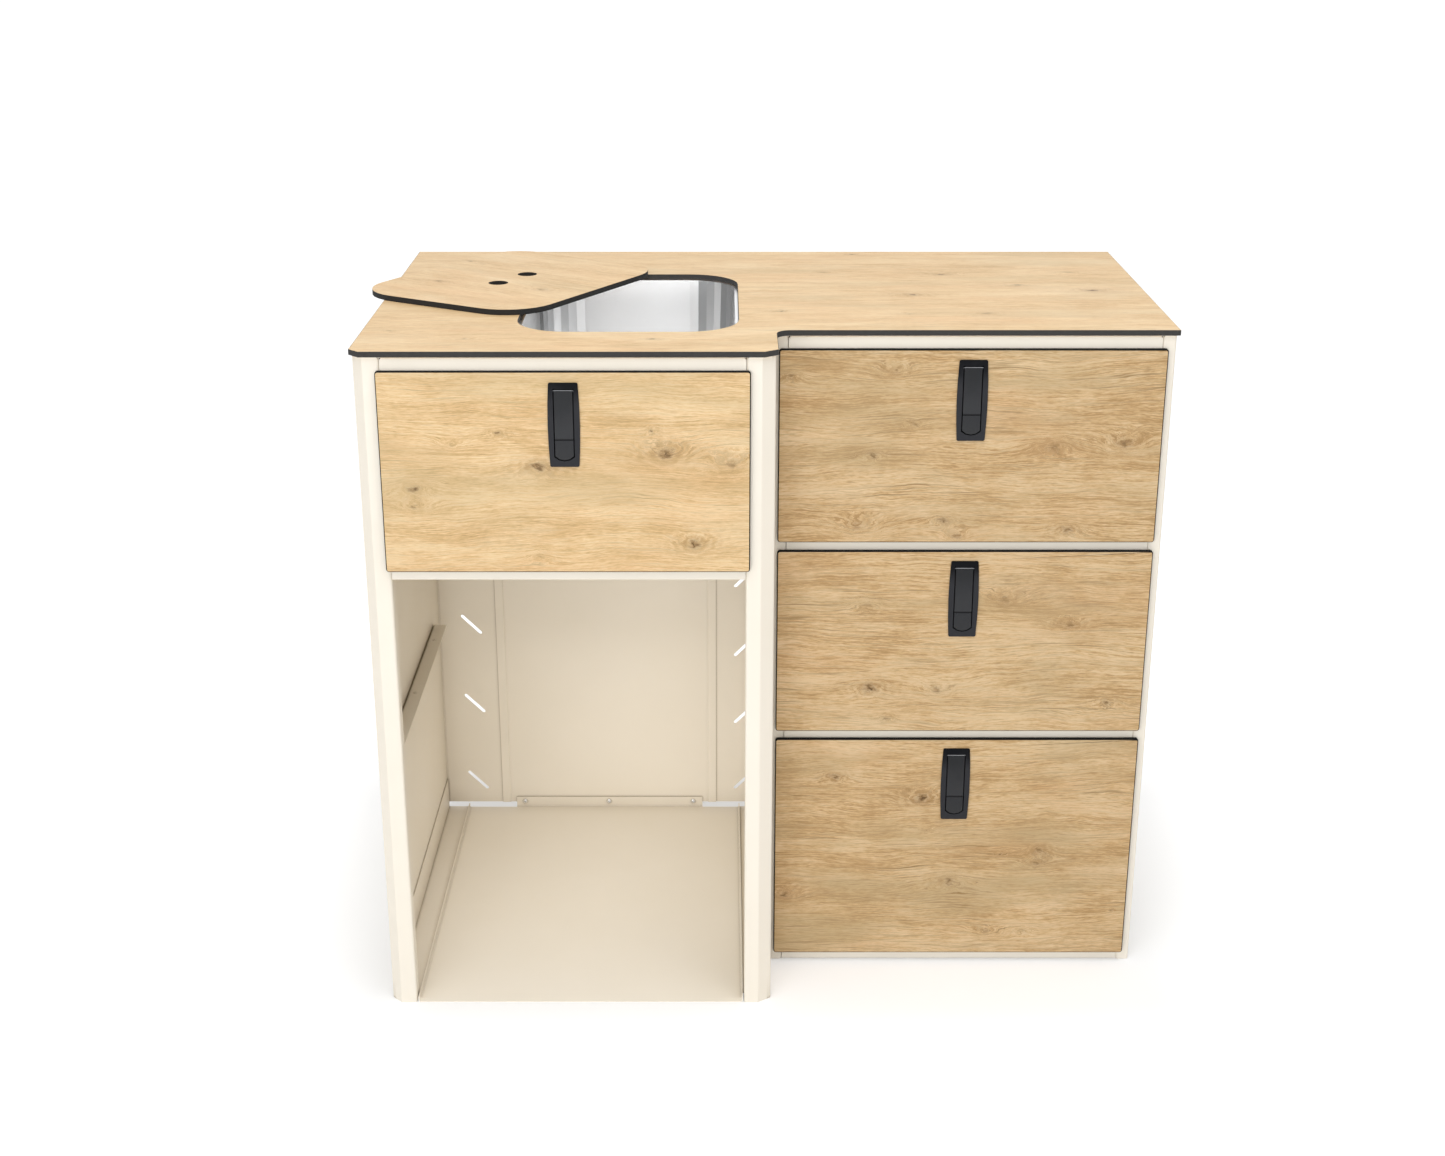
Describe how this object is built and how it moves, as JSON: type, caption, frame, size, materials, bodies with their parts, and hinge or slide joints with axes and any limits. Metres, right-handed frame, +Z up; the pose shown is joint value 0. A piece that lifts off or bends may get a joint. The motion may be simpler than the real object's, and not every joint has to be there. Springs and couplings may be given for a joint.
{
  "type": "campervan kitchen pod",
  "caption": "Stepped kitchen cabinet with an open fridge bay, round-cornered sink with lift-off lid, and front drawers with flush pull latches.",
  "frame": {"origin": "on the floor under the middle of the worktop's outline, on the flat underside of the bay's right base angle", "axes": "+X to the right along the pod as seen from the front, +Y to the rear, +Z up; drawers open towards -Y"},
  "size_m": [1.0218, 0.6143, 0.8873],
  "materials": {
    "cream_powder_coat": "satin powder coat, fine grain",
    "oak_laminate": "matt oak-print laminate with a dark core edge",
    "black_plastic": "satin",
    "stainless_steel": "polished",
    "zinc_steel": "zinc plated"
  },
  "bodies": {
    "carcass": {"worktop": "oak_laminate", "sink_bowl": "stainless_steel", "sink_waste": "stainless_steel", "sink_waste_nut": "black_plastic", "left_side_panel": "cream_powder_coat", "bay_right_panel": "cream_powder_coat", "drawers_left_panel": "cream_powder_coat", "right_side_panel": "cream_powder_coat", "bay_rear_panel": "cream_powder_coat", "drawers_rear_panel": "cream_powder_coat", "bay_floor": "cream_powder_coat", "drawers_floor": "cream_powder_coat", "base_angle_left": "cream_powder_coat", "base_angle_right": "cream_powder_coat", "bay_ledge_left": "cream_powder_coat", "bay_ledge_right": "cream_powder_coat", "bay_top_rail": "cream_powder_coat", "bay_head_rail": "cream_powder_coat", "drawers_top_rail": "cream_powder_coat", "drawers_upper_rail": "cream_powder_coat", "drawers_lower_rail": "cream_powder_coat", "drawers_bottom_rail": "cream_powder_coat", "sink_runner_left": "zinc_steel", "sink_runner_right": "zinc_steel", "upper_runner_left": "zinc_steel", "upper_runner_right": "zinc_steel", "middle_runner_left": "zinc_steel", "middle_runner_right": "zinc_steel", "lower_runner_left": "zinc_steel", "lower_runner_right": "zinc_steel"},
    "lid": {"sink_lid": "oak_laminate"},
    "sink_drawer": {"sink_drawer_front": "oak_laminate", "sink_drawer_box": "zinc_steel", "sink_latch_housing": "black_plastic"},
    "sink_lever": {"sink_latch_lever": "black_plastic"},
    "sink_button": {"sink_latch_button": "black_plastic"},
    "sink_bolt": {"sink_latch_bolt": "zinc_steel"},
    "upper_drawer": {"upper_drawer_front": "oak_laminate", "upper_drawer_box": "zinc_steel", "upper_latch_housing": "black_plastic"},
    "upper_lever": {"upper_latch_lever": "black_plastic"},
    "upper_button": {"upper_latch_button": "black_plastic"},
    "upper_bolt": {"upper_latch_bolt": "zinc_steel"},
    "middle_drawer": {"middle_drawer_front": "oak_laminate", "middle_drawer_box": "zinc_steel", "middle_latch_housing": "black_plastic"},
    "middle_lever": {"middle_latch_lever": "black_plastic"},
    "middle_button": {"middle_latch_button": "black_plastic"},
    "middle_bolt": {"middle_latch_bolt": "zinc_steel"},
    "lower_drawer": {"lower_drawer_front": "oak_laminate", "lower_drawer_box": "zinc_steel", "lower_latch_housing": "black_plastic"},
    "lower_lever": {"lower_latch_lever": "black_plastic"},
    "lower_button": {"lower_latch_button": "black_plastic"},
    "lower_bolt": {"lower_latch_bolt": "zinc_steel"}
  },
  "joints": [
    {"name": "lid_lift", "type": "slide", "parent": "carcass", "child": "lid", "axis": [0, 0, 1], "range_m": [0, 0.15]},
    {"name": "sink_drawer_slide", "type": "slide", "parent": "carcass", "child": "sink_drawer", "axis": [0, -1, 0], "range_m": [0, 0.36]},
    {"name": "sink_lever_hinge", "type": "hinge", "parent": "sink_drawer", "child": "sink_lever", "pos_m": [-0.24725, -0.3083, 0.8336], "axis": [-1, 0, 0], "range_deg": [0, 35], "stiffness_Nm_per_rad": 0.02, "springref_deg": -20.05},
    {"name": "sink_bolt_slide", "type": "slide", "parent": "sink_drawer", "child": "sink_bolt", "axis": [0, 0, -1], "range_m": [0, 0.0086], "stiffness_N_per_m": 25, "springref_m": -0.0045},
    {"name": "sink_button_slide", "type": "slide", "parent": "sink_drawer", "child": "sink_button", "axis": [0, 1, 0], "range_m": [0, 0.0025], "stiffness_N_per_m": 250, "springref_m": -0.001},
    {"name": "upper_drawer_slide", "type": "slide", "parent": "carcass", "child": "upper_drawer", "axis": [0, -1, 0], "range_m": [0, 0.3]},
    {"name": "upper_lever_hinge", "type": "hinge", "parent": "upper_drawer", "child": "upper_lever", "pos_m": [0.24775, -0.1983, 0.8336], "axis": [-1, 0, 0], "range_deg": [0, 35], "stiffness_Nm_per_rad": 0.02, "springref_deg": -20.05},
    {"name": "upper_bolt_slide", "type": "slide", "parent": "upper_drawer", "child": "upper_bolt", "axis": [0, 0, -1], "range_m": [0, 0.0086], "stiffness_N_per_m": 25, "springref_m": -0.0045},
    {"name": "upper_button_slide", "type": "slide", "parent": "upper_drawer", "child": "upper_button", "axis": [0, 1, 0], "range_m": [0, 0.0025], "stiffness_N_per_m": 250, "springref_m": -0.001},
    {"name": "middle_drawer_slide", "type": "slide", "parent": "carcass", "child": "middle_drawer", "axis": [0, -1, 0], "range_m": [0, 0.3]},
    {"name": "middle_lever_hinge", "type": "hinge", "parent": "middle_drawer", "child": "middle_lever", "pos_m": [0.24775, -0.1983, 0.5721], "axis": [-1, 0, 0], "range_deg": [0, 35], "stiffness_Nm_per_rad": 0.02, "springref_deg": -20.05},
    {"name": "middle_bolt_slide", "type": "slide", "parent": "middle_drawer", "child": "middle_bolt", "axis": [0, 0, -1], "range_m": [0, 0.0086], "stiffness_N_per_m": 25, "springref_m": -0.0045},
    {"name": "middle_button_slide", "type": "slide", "parent": "middle_drawer", "child": "middle_button", "axis": [0, 1, 0], "range_m": [0, 0.0025], "stiffness_N_per_m": 250, "springref_m": -0.001},
    {"name": "lower_drawer_slide", "type": "slide", "parent": "carcass", "child": "lower_drawer", "axis": [0, -1, 0], "range_m": [0, 0.3]},
    {"name": "lower_lever_hinge", "type": "hinge", "parent": "lower_drawer", "child": "lower_lever", "pos_m": [0.24775, -0.1983, 0.3106], "axis": [-1, 0, 0], "range_deg": [0, 35], "stiffness_Nm_per_rad": 0.02, "springref_deg": -20.05},
    {"name": "lower_bolt_slide", "type": "slide", "parent": "lower_drawer", "child": "lower_bolt", "axis": [0, 0, -1], "range_m": [0, 0.0086], "stiffness_N_per_m": 25, "springref_m": -0.0045},
    {"name": "lower_button_slide", "type": "slide", "parent": "lower_drawer", "child": "lower_button", "axis": [0, 1, 0], "range_m": [0, 0.0025], "stiffness_N_per_m": 250, "springref_m": -0.001}
  ],
  "couplings": [
    {"joint": "sink_bolt_slide", "follows": "sink_lever_hinge", "m_per_rad": 0.014},
    {"joint": "upper_bolt_slide", "follows": "upper_lever_hinge", "m_per_rad": 0.014},
    {"joint": "middle_bolt_slide", "follows": "middle_lever_hinge", "m_per_rad": 0.014},
    {"joint": "lower_bolt_slide", "follows": "lower_lever_hinge", "m_per_rad": 0.014}
  ]
}
